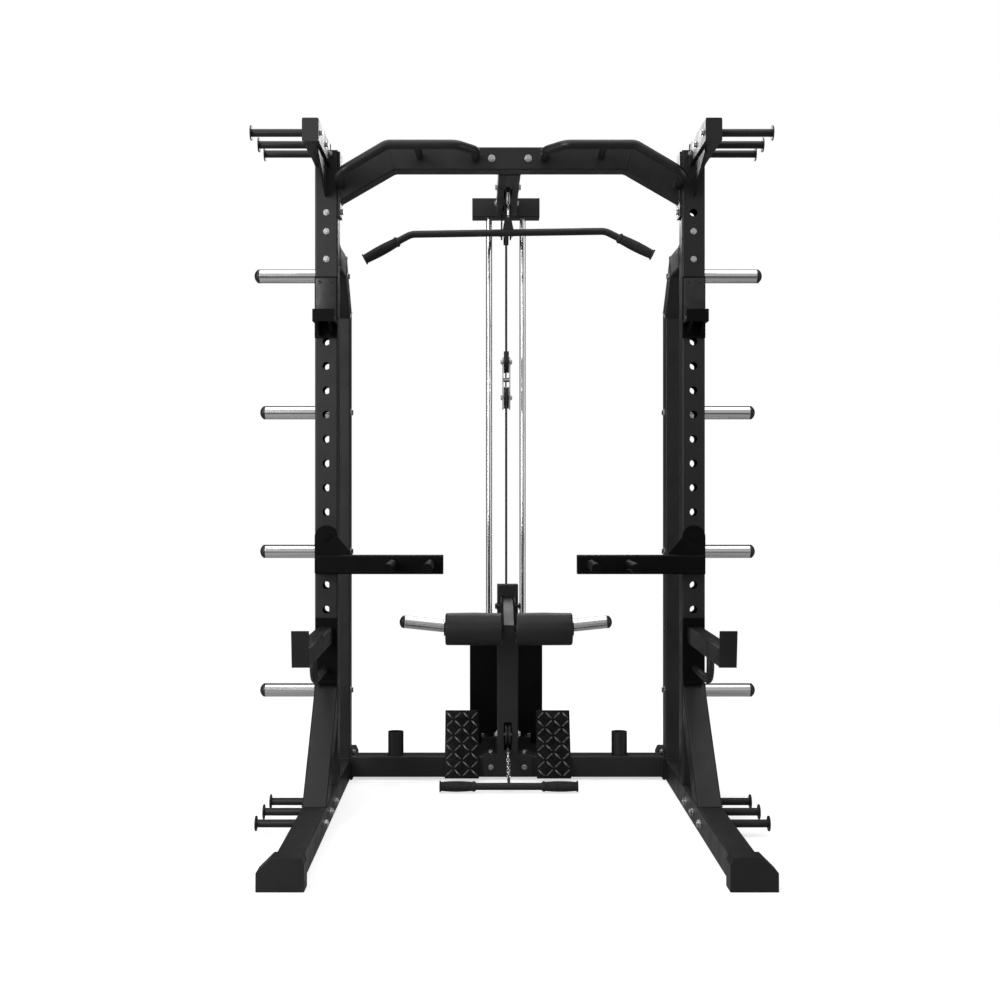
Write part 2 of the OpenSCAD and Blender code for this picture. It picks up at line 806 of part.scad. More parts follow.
// A round ring that stands up in the XZ plane, or in the YZ plane at a = 90.
module ring(z, r, d, a = 0) {
    translate([0, 0, z]) rotate([90, 0, a])
        rotate_extrude() translate([r, 0]) circle(d = d);
}

module at_lat_bar() {
    translate([0, lat_y, lat_z]) rotate([0, -lat_tilt, 0]) children();
}

module lat_bar() {
    piece(coat) at_lat_bar() {
        bent_rod([[-lat_end[0], 0, lat_end[2]], [-lat_bend, 0, 0],
                  [lat_bend, 0, 0], lat_end], bar_d, 60);
        difference() {
            along_y(-5, 5) polygon([[-21, 2], [21, 2], [9, 62], [-9, 62]]);
            rod_y(0, -6, 6, 50, 15);
        }
    }
}

// A ribbed rubber grip with a flange at each end, along +Z from its outer end.
module grip(l, bore, d) {
    rotate_extrude() difference() {
        union() {
            square([d / 2 + 3, 4]);
            square([d / 2, l - 4]);
            translate([0, l - 10]) square([d / 2 + 3, 6]);
            translate([0, l - 4]) square([d / 2 - 2, 4]);
        }
        translate([0, 3]) square([bore / 2, l]);
    }
}

module lat_grips() {
    piece(rubber) at_lat_bar() both_sides()
        translate([lat_half, 0, -lat_drop]) rotate([0, -90 + lat_slope, 0])
            translate([0, 0, 5]) grip(grip_back, bar_d, 36);
}

module lat_bar_cable() {
    piece(steel) {
        cable_z(lat_y, hook_top + 9, top_pulley_z);
    }
}

low_bar_at = [209, 22];    // low bar's middle line, as [y, z]
low_hook_at = [398, 116];  // where the cable ends
low_eye = [222, 40];       // hole in the low bar's plate

module low_bar() {
    piece(coat) {
        rod_x(8 - low_half, low_half - 8, low_bar_at[0], low_bar_at[1], bar_d);
        difference() {
            along_x(-5, 5) polygon([[196, 24], [222, 24], [234, 44], [218, 50]]);
            rod_x(-6, 6, low_eye[0], low_eye[1], 9);
        }
    }
}

link_r = 11;
link_d = 5;
link_pitch = 2 * link_r - link_d - 0.6;

// Round links from the cable's end to the low bar's eye, every other one turned.
module low_chain() {
    dir = unit(low_eye - low_hook_at);
    start = low_hook_at + (link_r + link_d / 2 + 1) * dir;
    way = low_eye - link_r * dir - start;
    n = round(norm(way) / link_pitch);
    piece(chrome) for (i = [0 : n]) {
        p = start + way * i / n;
        translate([0, p[0], p[1]]) rotate([atan2(way[1], way[0]), 0, 0])
            rotate([0, (n - i) % 2 == 0 ? 0 : 90, 0])
                rotate_extrude() translate([link_r, 0]) circle(d = link_d);
    }
}

module low_grips() {
    piece(rubber) both_sides()
        translate([low_half, low_bar_at[0], low_bar_at[1]]) rotate([0, -90, 0]) grip(125, bar_d, 36);
}

module low_bar_cable() {
    piece(steel) {
        rod([0, low_hook_at[0], low_hook_at[1]], [0, low_pulley_y, low_run_z], cable_d);
    }
}

// ---------- knee arm ----------

arm_len = norm(roller_at - pivot);
arm_lean = atan2(roller_at[1] - pivot[1], pivot[0] - roller_at[0]);
roller_in = 23;
roller_out = 217;

module at_knee_arm() {
    translate([0, pivot[0], pivot[1]]) rotate([-arm_lean, 0, 0]) mirror([0, 1, 0]) children();
}

// The arm, drilled for its pivot, and the rollers' axle with its end washers.
module knee_arm() {
    piece(coat) {
        difference() {
            at_knee_arm() translate([0, arm_len + 22, 0]) rotate([90, 0, 0])
                linear_extrude(arm_len + 34) round_rect(40, 50, tube_r);
            rod_x(-40, 40, pivot[0], pivot[1], axle_d + 2 * fit);
        }
        rod_x(-roller_out - 4, roller_out + 4, roller_at[0], roller_at[1], 24);
        both_sides() rod_x(roller_out + 0.5, roller_out + 5, roller_at[0], roller_at[1], 46);
    }
}

module knee_roller(s) {
    piece(foam) side(s) difference() {
        rod_x(roller_in, roller_out, roller_at[0], roller_at[1], roller_d);
        rod_x(roller_in - 1, roller_out + 1, roller_at[0], roller_at[1], 24 + 2 * fit);
    }
}

module knee_roller_left() knee_roller(-1);
module knee_roller_right() knee_roller(1);

// ---------- attachments on the uprights ----------

pin_d = hole_d - 2 * fit;
front = -gap;              // attachments stop this far from the uprights' faces

jcup_low = 1538;
jcup_top = 1739;
jcup_out = 96;             // reach of the lip
shelf_low = 1582;
shelf_top = 1594;
lip_top = 1622;
rib_x = 19;                // ribs and screws stand this far from the middle

// A cup for a barbell: back plate, lined shelf and lip, two ribs under it and two pins.
module jcup(s) {
    piece(coat) side(s) {
        box([inner_x, -8, jcup_low], [outer_x, front, jcup_top]);
        box([inner_x + 1, -jcup_out, shelf_low], [outer_x - 3, -8, shelf_top]);
        box([inner_x + 1, -jcup_out, shelf_low], [outer_x - 3, -jcup_out + 8, lip_top]);
        for (x = [side_x - rib_x, side_x + rib_x]) along_x(x - 2.5, x + 2.5)
            polygon([[-8, jcup_low + 6], [-30, jcup_low + 6], [-jcup_out + 4, shelf_low - 7],
                     [-jcup_out + 4, shelf_low], [-8, shelf_low]]);
        for (z = [jcup_hole - hole_pitch, jcup_hole]) rod_y(side_x, front - 1, tube + 6, z, pin_d);
    }
    piece(rubber) side(s) {
        box([inner_x + 4, -jcup_out + 8, shelf_top], [outer_x - 4, -8, shelf_top + 8]);
        box([inner_x + 4, -14, shelf_top + 8], [outer_x - 4, -8, jcup_top - 7]);
        box([inner_x + 4, -jcup_out + 8, shelf_top + 8], [outer_x - 4, -jcup_out + 12, lip_top - 2]);
    }
    piece(steel) side(s)
        for (x = [side_x - rib_x, side_x + rib_x]) rod_y(x, -16, -13, jcup_top - 19, 10);
}

module jcup_left() jcup(-1);
module jcup_right() jcup(1);

dip_z = 797.5;
dip_in = 218;
dip_out = outer_x - 9;
dip_reach = 314;           // handles' ends, in front of the uprights
dip_hole = hole_z(4);      // the lower hole behind the cheek plate

// A dip arm: cross tube, cheek plate with a round top, and two handles.
module dip_arm(s) {
    piece(coat) side(s) {
        translate([0, -28 - 8 + front, dip_z]) {
            along_x(dip_in + 4, dip_out - 4) tube_section(56, 61);
            for (x = [dip_in, dip_out - 4]) along_x(x, x + 4) round_rect(56, 61, tube_r);
        }
        along_y(front - 8, front) {
            polygon([[516, 767], [outer_x, 767], [outer_x, 886], [inner_x, 886], [516, 828]]);
            translate([side_x, 886]) circle(d = tube);
        }
        for (x = [260, 382]) rod_y(x, -dip_reach, -64 + front, 799, dip_handle_d);
        for (z = [dip_hole, dip_hole + hole_pitch]) rod_y(side_x, front - 1, tube + 6, z, pin_d);
    }
    piece(steel) side(s)
        bolt_head([side_x, front - 8, dip_hole + hole_pitch], [0, -1, 0], 26, 6);
}

module dip_arm_left() dip_arm(-1);
module dip_arm_right() dip_arm(1);

spotter_x = 606;
spotter_w = 50;

brace_z = 455;             // spotter brace's lower run
brace_y = -315;            // where it turns up to the arm
brace_d = 24;
brace_bend = 50;

// A spotter arm: square tube, bracket, end plate and a round brace under it.
module spotter_arm(s) {
    low = 420.5;
    high = 620;
    piece(coat) side(s) {
        box([inner_x + 1, -8 + front, low], [outer_x - 2, front, high]);
        box([inner_x + 1, -16 + front, brace_up + gap], [outer_x - 12, front, low]);
        translate([spotter_x, 0, 0]) {
            translate([0, 0, spotter_z]) along_y(-spotter_len, -8 + front) tube_section(spotter_w, 54);
            // end plate, its top leaning forward
            translate([0, -spotter_len, 538]) rotate([8, 0, 0])
                box([-spotter_w / 2, -8, 0], [spotter_w / 2, 0, 105]);
            bent_rod([[0, -8 + front, brace_z], [0, brace_y, brace_z],
                      [0, brace_y, spotter_z - 20]], brace_d, brace_bend);
        }
        for (i = [0, 1]) rod_y(side_x, front - 1, tube + 6, hole_z(i), pin_d);
    }
}

module spotter_arm_left() spotter_arm(-1);
module spotter_arm_right() spotter_arm(1);

// ---------- one node at a time ----------

upright_left();
upright_right();
top_arm_left();
top_arm_right();
floor_rail_left();
floor_rail_right();
front_brace_left();
front_brace_right();
rear_frame_left();
rear_frame_right();
plate_pegs();
peg_caps();
band_pegs();
top_crossmember();
pullup_handles();
base_crossbeam();
bar_holders();
tower_column();
tower_base();
top_beam();
guard_panel();
guide_rods();
carriage_stops();
foot_plates();
foot_plate_brackets();
knee_bracket();
frame_bolts();
pulley_axles();
top_front_pulley();
top_middle_pulley();
hung_pulley();
base_pulley();
low_pulley();
fixed_cables();
block_plates();
block_upper_pulley();
block_lower_pulley();
block_cables();
carriage();
carriage_bushings();
carriage_horns();
carriage_cable();
lat_swivel();
lat_hook();
lat_bar();
lat_grips();
lat_bar_cable();
low_bar();
low_grips();
low_chain();
low_bar_cable();
knee_arm();
knee_roller_left();
knee_roller_right();
jcup_left();
jcup_right();
dip_arm_left();
dip_arm_right();
spotter_arm_left();
spotter_arm_right();
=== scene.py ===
"""Looks for the power cage: finer pieces, materials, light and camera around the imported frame."""

import json
import math
import random

import bmesh
import bpy
from mathutils import Matrix, Vector


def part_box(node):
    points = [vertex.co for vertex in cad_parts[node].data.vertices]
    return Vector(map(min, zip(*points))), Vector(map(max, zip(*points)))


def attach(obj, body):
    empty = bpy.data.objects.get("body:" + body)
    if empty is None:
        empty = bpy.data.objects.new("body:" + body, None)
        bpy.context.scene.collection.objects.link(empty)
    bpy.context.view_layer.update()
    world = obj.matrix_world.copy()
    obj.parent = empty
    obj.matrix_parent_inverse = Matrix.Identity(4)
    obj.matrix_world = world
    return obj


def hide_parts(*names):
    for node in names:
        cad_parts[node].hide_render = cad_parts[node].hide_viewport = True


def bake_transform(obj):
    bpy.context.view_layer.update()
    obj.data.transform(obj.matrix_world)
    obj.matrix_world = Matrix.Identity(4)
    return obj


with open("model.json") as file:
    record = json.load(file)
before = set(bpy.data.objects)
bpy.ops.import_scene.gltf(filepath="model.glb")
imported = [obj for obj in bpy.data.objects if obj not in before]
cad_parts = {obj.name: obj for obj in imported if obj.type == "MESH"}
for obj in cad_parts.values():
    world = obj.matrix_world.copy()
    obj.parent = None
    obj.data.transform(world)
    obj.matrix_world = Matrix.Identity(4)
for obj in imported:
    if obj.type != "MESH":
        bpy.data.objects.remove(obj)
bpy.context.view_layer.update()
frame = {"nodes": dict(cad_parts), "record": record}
RNG = random.Random(7)
MM = 0.001
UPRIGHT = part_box("upright_right")
FRONT_Y = UPRIGHT[0][1]  # front face of the uprights, from which the layout counts
INNER_X = UPRIGHT[0][0]
OUTER_X = UPRIGHT[1][0]
SIDE_X = (INNER_X + OUTER_X) / 2
TUBE = 75  # the frame's square tube, in millimetres

# ---------------------------------------------------------------- camera

CAMERA_BACK = 4.556  # metres in front of the uprights
CAMERA_AT = Vector((-0.0885, FRONT_Y - CAMERA_BACK, 1.051))
camera_data = bpy.data.cameras.new("camera")
camera_data.lens = 50
camera_data.sensor_width = 36
camera_data.shift_x = 0.017
camera_data.shift_y = -0.0135
camera_data.clip_end = 100
camera = bpy.data.objects.new("camera", camera_data)
camera.location = CAMERA_AT
camera.rotation_euler = (math.radians(90), 0, 0)
bpy.context.collection.objects.link(camera)
bpy.context.scene.camera = camera

# ---------------------------------------------------------------- materials


def new_material(name, colour, rough, metal=0.0, **sockets):
    """A Principled material, its node tree and its shader; sockets are further inputs by name."""
    m = bpy.data.materials.new(name)
    m.use_nodes = True
    b = m.node_tree.nodes["Principled BSDF"]
    b.inputs["Base Color"].default_value = (*colour, 1)
    b.inputs["Roughness"].default_value = rough
    b.inputs["Metallic"].default_value = metal
    for key, value in sockets.items():
        b.inputs[key.replace("_", " ")].default_value = value
    return m, m.node_tree, b


def object_coords(nt):
    return nt.nodes.new("ShaderNodeTexCoord").outputs["Object"]


def noise(nt, scale, detail=3.0, stretch=(1, 1, 1)):
    mapping = nt.nodes.new("ShaderNodeMapping")
    mapping.inputs["Scale"].default_value = stretch
    nt.links.new(object_coords(nt), mapping.inputs["Vector"])
    n = nt.nodes.new("ShaderNodeTexNoise")
    n.inputs["Scale"].default_value = scale
    n.inputs["Detail"].default_value = detail
    nt.links.new(mapping.outputs["Vector"], n.inputs["Vector"])
    return n.outputs["Fac"]


def ramp(nt, fac, lo, hi, a=0.35, b=0.65):
    """Maps fac from a..b to the colours lo..hi."""
    r = nt.nodes.new("ShaderNodeValToRGB")
    r.color_ramp.elements[0].position = a
    r.color_ramp.elements[1].position = b
    r.color_ramp.elements[0].color = (*lo, 1)
    r.color_ramp.elements[1].color = (*hi, 1)
    nt.links.new(fac, r.inputs["Fac"])
    return r.outputs["Color"]


def span(nt, fac, lo, hi, a=0.35, b=0.65):
    """Maps fac from a..b to the numbers lo..hi."""
    r = nt.nodes.new("ShaderNodeMapRange")
    r.inputs["From Min"].default_value = a
    r.inputs["From Max"].default_value = b
    r.inputs["To Min"].default_value = lo
    r.inputs["To Max"].default_value = hi
    nt.links.new(fac, r.inputs["Value"])
    return r.outputs["Result"]


def bump(nt, height, strength, distance, onto=None):
    n = nt.nodes.new("ShaderNodeBump")
    n.inputs["Strength"].default_value = strength
    n.inputs["Distance"].default_value = distance
    nt.links.new(height, n.inputs["Height"])
    if onto is not None:
        nt.links.new(onto, n.inputs["Normal"])
    return n.outputs["Normal"]


def soft_edge(nt, radius):
    n = nt.nodes.new("ShaderNodeBevel")
    n.samples = 4
    n.inputs["Radius"].default_value = radius
    return n.outputs["Normal"]


def coat_material(name, lo, hi, specular):
    """Satin powder coat: fine orange peel, a little uneven in gloss and in tone, lo to hi."""
    m, nt, b = new_material(name, hi, 0.4, Specular_IOR_Level=specular)
    broad = noise(nt, 3.5, 2)
    nt.links.new(ramp(nt, broad, lo, hi), b.inputs["Base Color"])
    nt.links.new(span(nt, noise(nt, 14, 4), 0.36, 0.47), b.inputs["Roughness"])
    peel = noise(nt, 420, 2)
    nt.links.new(bump(nt, peel, 0.22, 0.0005, soft_edge(nt, 0.0012)), b.inputs["Normal"])
    return m


def chrome_material():
    """Hard chrome with faint lengthwise polishing marks."""
    m, nt, b = new_material("chrome", (0.78, 0.78, 0.79), 0.09, 1.0)
    nt.links.new(span(nt, noise(nt, 30, 4, (0.2, 1, 1)), 0.06, 0.15), b.inputs["Roughness"])
    marks = noise(nt, 260, 3, (0.05, 1, 1))
    nt.links.new(bump(nt, marks, 0.04, 0.0002, soft_edge(nt, 0.0008)), b.inputs["Normal"])
    return m


def zinc_material():
    """Bright zinc plate on bolts and small steel parts."""
    m, nt, b = new_material("zinc", (0.62, 0.62, 0.63), 0.26, 1.0)
    tone = ramp(nt, noise(nt, 90, 4), (0.5, 0.5, 0.51), (0.7, 0.7, 0.7))
    nt.links.new(tone, b.inputs["Base Color"])
    nt.links.new(span(nt, noise(nt, 160, 3), 0.2, 0.36), b.inputs["Roughness"])
    grain = noise(nt, 600, 2)
    nt.links.new(bump(nt, grain, 0.1, 0.0002, soft_edge(nt, 0.0006)), b.inputs["Normal"])
    return m


def plastic_material():
    """Black moulded plastic with a fine spark texture."""
    m, nt, b = new_material("moulded_plastic", (0.012, 0.012, 0.012), 0.38)
    tone = ramp(nt, noise(nt, 25, 3), (0.009, 0.009, 0.009), (0.017, 0.017, 0.017))
    nt.links.new(tone, b.inputs["Base Color"])
    nt.links.new(span(nt, noise(nt, 60, 2), 0.3, 0.46), b.inputs["Roughness"])
    grain = noise(nt, 1500, 2)
    nt.links.new(bump(nt, grain, 0.15, 0.0002, soft_edge(nt, 0.0008)), b.inputs["Normal"])
    return m


def rubber_material(name, colour, rough, grain, depth):
    """Matte rubber: grain is the texture's scale, depth its height in metres."""
    m, nt, b = new_material(name, colour, rough, Specular_IOR_Level=0.35)
    lo = tuple(0.75 * c for c in colour)
    hi = tuple(1.35 * c for c in colour)
    nt.links.new(ramp(nt, noise(nt, grain / 12, 4), lo, hi), b.inputs["Base Color"])
    gloss = span(nt, noise(nt, grain / 6, 3), rough - 0.08, rough + 0.08)
    nt.links.new(gloss, b.inputs["Roughness"])
    nt.links.new(bump(nt, noise(nt, grain, 3), 0.35, depth), b.inputs["Normal"])
    return m


def foam_material():
    """Closed-cell foam: small pores under a slightly shiny skin."""
    m, nt, b = new_material("foam_skin", (0.010, 0.0098, 0.0098), 0.46, Specular_IOR_Level=0.4)
    cells = nt.nodes.new("ShaderNodeTexVoronoi")
    cells.inputs["Scale"].default_value = 420
    nt.links.new(object_coords(nt), cells.inputs["Vector"])
    tone = ramp(nt, noise(nt, 9, 4), (0.008, 0.0078, 0.0078), (0.013, 0.0127, 0.0127))
    nt.links.new(tone, b.inputs["Base Color"])
    nt.links.new(span(nt, cells.outputs["Distance"], 0.4, 0.5, 0.1, 0.7), b.inputs["Roughness"])
    nt.links.new(bump(nt, cells.outputs["Distance"], 0.25, 0.0004), b.inputs["Normal"])
    return m


def tread_material(name, specular, gloss):
    """Black chequer plate, rubbed a little brighter in patches; gloss is a clear coat's weight."""
    m, nt, b = new_material(name, (0.005, 0.005, 0.005), 0.3,
                            Specular_IOR_Level=specular, Coat_Weight=gloss, Coat_Roughness=0.14)
    tone = ramp(nt, noise(nt, 40, 5), (0.003, 0.003, 0.003), (0.008, 0.008, 0.008))
    nt.links.new(tone, b.inputs["Base Color"])
    nt.links.new(span(nt, noise(nt, 90, 4), 0.2, 0.38), b.inputs["Roughness"])
    nt.links.new(bump(nt, noise(nt, 300, 2), 0.05, 0.0001), b.inputs["Normal"])
    return m


MATERIALS = {
    "black_coat": coat_material("powder_coat", (0.009, 0.0083, 0.0083), (0.013, 0.012, 0.012),
                                0.42),
    "chrome": chrome_material(),
    "steel": zinc_material(),
    "black_plastic": plastic_material(),
    "rubber": rubber_material("grip_rubber", (0.016, 0.016, 0.016), 0.6, 900, 0.0004),
    "cable": rubber_material("cable_sheath", (0.012, 0.012, 0.012), 0.35, 600, 0.0001),
    "foam": foam_material(),
    "tread_plate": tread_material("tread_paint", 0.1, 0.0),
}
TREAD_BARS = tread_material("tread_bars", 1.0, 1.0)  # the bars' paint is polished by shoes

SLOTS = {p["node"]: p["material_slot"] for p in frame["record"]["subparts"]}
for node_name, obj in frame["nodes"].items():
    obj.data.materials.clear()
    obj.data.materials.append(MATERIALS[SLOTS[node_name]])

# painted shade: the attachments and the panel behind the column get a darker, flatter copy of the
# frame's black coat, standing in for the shadow they sit in
SHADE_COAT = coat_material("painted_shade_coat", (0.0018, 0.0017, 0.0017), (0.0028, 0.0026, 0.0026), 0.1)
for node_name in ("guard_panel", "dip_arm_left", "dip_arm_right", "jcup_left", "jcup_right"):
    frame["nodes"][node_name].data.materials[0] = SHADE_COAT

BRACKET_DEPTH = 0.017  # the spotter arms' brackets reach this far in front of the uprights
# painted shade: the brackets, shaded by the arms above them, take the darker coat
for node_name in ("spotter_arm_left", "spotter_arm_right"):
    arm = frame["nodes"][node_name]
    arm.data.materials.append(SHADE_COAT)
    for poly in arm.data.polygons:
        if (arm.matrix_world @ poly.center).y > FRONT_Y - BRACKET_DEPTH:
            poly.material_index = 1

# ---------------------------------------------------------------- building blocks


def finish_piece(obj, slot_name, body, smooth_angle=35):
    """Gives a piece its material, its smooth shading and the body it rides on."""
    obj.data.materials.clear()
    obj.data.materials.append(MATERIALS[slot_name])
    for poly in obj.data.polygons:
        poly.use_smooth = True
    obj.data.set_sharp_from_angle(angle=math.radians(smooth_angle))
    if body:
        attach(obj, body)
    return obj


def from_bmesh(name, bm):
    bmesh.ops.recalc_face_normals(bm, faces=bm.faces)
    mesh = bpy.data.meshes.new(name)
    bm.to_mesh(mesh)
    bm.free()
    obj = bpy.data.objects.new(name, mesh)
    bpy.context.collection.objects.link(obj)
    return obj


def add_lathe(bm, profile, at, axis, sides=48, wobble=None, bored=False):
    """Turns a profile of (along, radius) points about the axis through at.

    The ends are closed flat, or joined by a bore when bored is true.
    """
    z = Vector(axis).normalized()
    x = z.orthogonal().normalized()
    y = z.cross(x)
    at = Vector(at)
    rings = []
    for along, radius in profile:
        ring = []
        for k in range(sides):
            t = 2 * math.pi * k / sides
            r = radius + (wobble(along, t) if wobble else 0)
            ring.append(bm.verts.new(at + along * z + r * (math.cos(t) * x + math.sin(t) * y)))
        rings.append(ring)
    if bored:
        rings.append(rings[0])
    for a, b in zip(rings, rings[1:]):
        for k in range(sides):
            n = (k + 1) % sides
            bm.faces.new((a[k], a[n], b[n], b[k]))
    if not bored:
        bm.faces.new(rings[0][::-1])
        bm.faces.new(rings[-1])


def add_tube(bm, points, radius, sides=12, closed=False):
    """Sweeps a circle along points, with frames carried along from ring to ring."""
    pts = [Vector(p) for p in points]
    count = len(pts)
    tangents = []
    for i in range(count):
        before = pts[(i - 1) % count] if closed or i else pts[i]
        after = pts[(i + 1) % count] if closed or i < count - 1 else pts[i]
        tangents.append((after - before).normalized())
    u = tangents[0].orthogonal().normalized()
    rings = []
    for p, t in zip(pts, tangents):
        u = (u - u.dot(t) * t).normalized()
        v = t.cross(u)
        rings.append([
            bm.verts.new(p + radius * (math.cos(a) * u + math.sin(a) * v))
            for a in (2 * math.pi * k / sides for k in range(sides))
        ])
    if closed:
        rings.append(rings[0])
    for i, (a, b) in enumerate(zip(rings, rings[1:])):
        shift = 0
        if closed and i == count - 1:
            shift = min(range(sides), key=lambda s: (a[0].co - b[s].co).length)
        for k in range(sides):
            n = (k + 1) % sides
            bm.faces.new((a[k], a[n], b[(n + shift) % sides], b[(k + shift) % sides]))
    if not closed:
        bm.faces.new(rings[0][::-1])
        bm.faces.new(rings[-1])


def rounded_path(points, radius, steps=8):
    """The path with each inner corner turned into an arc of that radius."""
    pts = [Vector(p) for p in points]
    out = [pts[0]]
    for a, p, b in zip(pts, pts[1:], pts[2:]):
        d0 = (p - a).normalized()
        d1 = (b - p).normalized()
        turn = d0.angle(d1)
        side = (d1 - d1.dot(d0) * d0).normalized()
        start = p - radius * math.tan(turn / 2) * d0
        for k in range(steps + 1):
            w = turn * k / steps
            out.append(start + radius * math.sin(w) * d0 + radius * (1 - math.cos(w)) * side)
    out.append(pts[-1])
    return out


def split_path(points, step):
    """Adds points so that no stretch is longer than step."""
    out = [Vector(points[0])]
    for p in points[1:]:
        p = Vector(p)
        n = max(1, math.ceil((p - out[-1]).length / step))
        a = out[-1]
        out += [a.lerp(p, k / n) for k in range(1, n + 1)]
    return out


def arc(centre, radius, start, end, steps=16):
    """Points of an arc in the YZ plane; angles are in degrees from +Y towards +Z."""
    out = []
    for k in range(steps + 1):
        t = math.radians(start + (end - start) * k / steps)
        out.append(Vector(centre) + radius * Vector((0, math.cos(t), math.sin(t))))
    return out


def add_block(bm, lo, hi, edge, matrix=None):
    """A box from lo to hi with rounded edges."""
    made = bmesh.ops.create_cube(bm, size=1)["verts"]
    lo, hi = Vector(lo), Vector(hi)
    for v in made:
        v.co = Vector(lo[i] + (v.co[i] + 0.5) * (hi[i] - lo[i]) for i in range(3))
    edges = list({e for v in made for e in v.link_edges})
    new = bmesh.ops.bevel(bm, geom=edges, offset=edge, segments=3, affect="EDGES", profile=0.5)
    if matrix is not None:
        verts = {v for f in new["faces"] for v in f.verts} | {v for v in made if v.is_valid}
        bmesh.ops.transform(bm, matrix=matrix, verts=list(verts))


def at(x, y, z):
    """A point of the layout, in millimetres, as a place in the frame."""
    return Vector((x * MM, y * MM + FRONT_Y, z * MM))


def mirrored(points):
    return [Vector((-p.x, p.y, p.z)) for p in points]


# ---------------------------------------------------------------- pull-up handles

HANDLE_R = 15 * MM
STUB_R = HANDLE_R - 3 * MM
HANDLE_BEND = 45 * MM
HANDLE_Y = -155  # the grips run in front of the uprights
HANDLE_Z = 2135
HANDLE_ROUTE = [(113, 0, 2130), (113, -95, 2130), (174, HANDLE_Y, HANDLE_Z),
                (394, HANDLE_Y, HANDLE_Z), (552, HANDLE_Y, 2042), (552, 0, 2042)]
STUB_X = 297


def weld_circle(centre, radius, steps=40):
    """A slightly uneven ring in the XZ plane."""
    out = []
    for k in range(steps):
        t = 2 * math.pi * k / steps
        r = radius + RNG.uniform(-0.25, 0.25) * MM
        out.append(centre + Vector((r * math.cos(t), 0, r * math.sin(t))))
    return out


def pullup_handles():
    """Two bent handles, each with a stub in its middle and beads where it meets the beam."""
    bm = bmesh.new()
    for flip in (1, -1):
        route = rounded_path([at(*p) for p in HANDLE_ROUTE], HANDLE_BEND, 10)
        stub = [at(STUB_X, HANDLE_Y, HANDLE_Z), at(STUB_X, 0, HANDLE_Z)]
        ends = [route[0], route[-1], stub[1]]
        if flip < 0:
            route, stub, ends = mirrored(route), mirrored(stub), mirrored(ends)
        add_tube(bm, route, HANDLE_R, 32)
        add_tube(bm, stub, STUB_R, 28)
        for p, r in zip(ends, (HANDLE_R, HANDLE_R, STUB_R)):
            bead = weld_circle(p - Vector((0, 1.2 * MM, 0)), r + 0.6 * MM)
            add_tube(bm, bead, 2 * MM, 8, closed=True)
    obj = finish_piece(from_bmesh("pullup_handles_formed", bm), "black_coat", "root")
    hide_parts("pullup_handles")


# ---------------------------------------------------------------- knee rollers

ROLLER_EDGE = 7 * MM
ROLLER_BORE = 12.3 * MM


def foam_skin(along, t):
    """How far the foam stands out of true at a place along the roller and an angle t."""
    return (0.35 * MM * math.sin(3 * t + 40 * along)
            + 0.25 * MM * math.sin(90 * along + 2 * t))


def knee_roller(side):
    """A foam roller with rounded ends, and the cap on its outer end."""
    name = f"knee_roller_{side}"
    lo, hi = (Vector(c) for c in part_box(name))
    centre = (lo + hi) / 2
    half = (hi.x - lo.x) / 2
    r = (hi.z - lo.z) / 2
    corner = [
        (half - ROLLER_EDGE * (1 - math.sin(t)), r - ROLLER_EDGE * (1 - math.cos(t)))
        for t in (math.radians(11.25 * k) for k in range(9))
    ]
    right = [(0, r + 0.6 * MM), (half * 0.5, r + 0.3 * MM)] + corner
    right += [(half - 1.5 * MM, r * 0.62), (half - 4 * MM, r * 0.5), (half - 4 * MM, ROLLER_BORE)]
    left = [(-a, b) for a, b in right[::-1][:-1]]
    bm = bmesh.new()
    add_lathe(bm, left + right, centre, (1, 0, 0), 72, foam_skin, bored=True)
    obj = finish_piece(from_bmesh(name + "_foam", bm), "foam", name, 60)
    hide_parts(name)
    sign = 1 if centre.x > 0 else -1
    bm = bmesh.new()
    cap = [(0, 12.4 * MM), (0, 25 * MM), (2 * MM, 27 * MM), (3.4 * MM, 26 * MM),
           (3.4 * MM, 12.4 * MM)]
    cap_at = (centre.x + sign * (half - 3.9 * MM), centre.y, centre.z)
    add_lathe(bm, cap, cap_at, (sign, 0, 0), 48, bored=True)
    finish_piece(from_bmesh(name + "_washer", bm), "black_plastic", name)


# ---------------------------------------------------------------- grips


def grip_profile(length, radius, bore, ribs):
    """A moulded grip from its outer end: flange, barrel with ribs, and a collar."""
    flange = radius + 2.5 * MM
    collar = flange - 1.5 * MM
    p = [(0, 1 * MM), (0, collar), (1 * MM, flange), (4 * MM, flange), (5.5 * MM, radius)]
    body = length - 22 * MM
    pitch = body / ribs
    for k in range(ribs):
        start = 8 * MM + body * k / ribs
        swell = 2.4 * MM * math.sin(math.pi * (k + 0.5) / ribs)
        valley = radius - 2 * MM + swell
        crest = radius - 0.9 * MM + swell
        p += [(start, valley), (start + 0.25 * pitch, crest),
              (start + 0.75 * pitch, crest), (start + pitch * 0.98, valley)]
    e = length
    p += [(e - 12 * MM, radius - 0.5 * MM), (e - 11 * MM, collar), (e - 5 * MM, collar),
          (e - 4 * MM, radius - 1 * MM), (e, bore + 1.2 * MM), (e, bore)]
    return p


LAT_HALF = 507  # half the lat bar's width
LAT_BEND = 341  # from here its ends slope down, by LAT_SLOPE degrees
LAT_SLOPE = 27.5
LAT_AT = (322, 1942)  # y and z of its straight part
LAT_TILT = 0.9  # degrees; the bar hangs a little askew
BAR_R = 12.5 * MM


def lat_matrix():
    return Matrix.Translation(at(0, *LAT_AT)) @ Matrix.Rotation(math.radians(-LAT_TILT), 4, "Y")


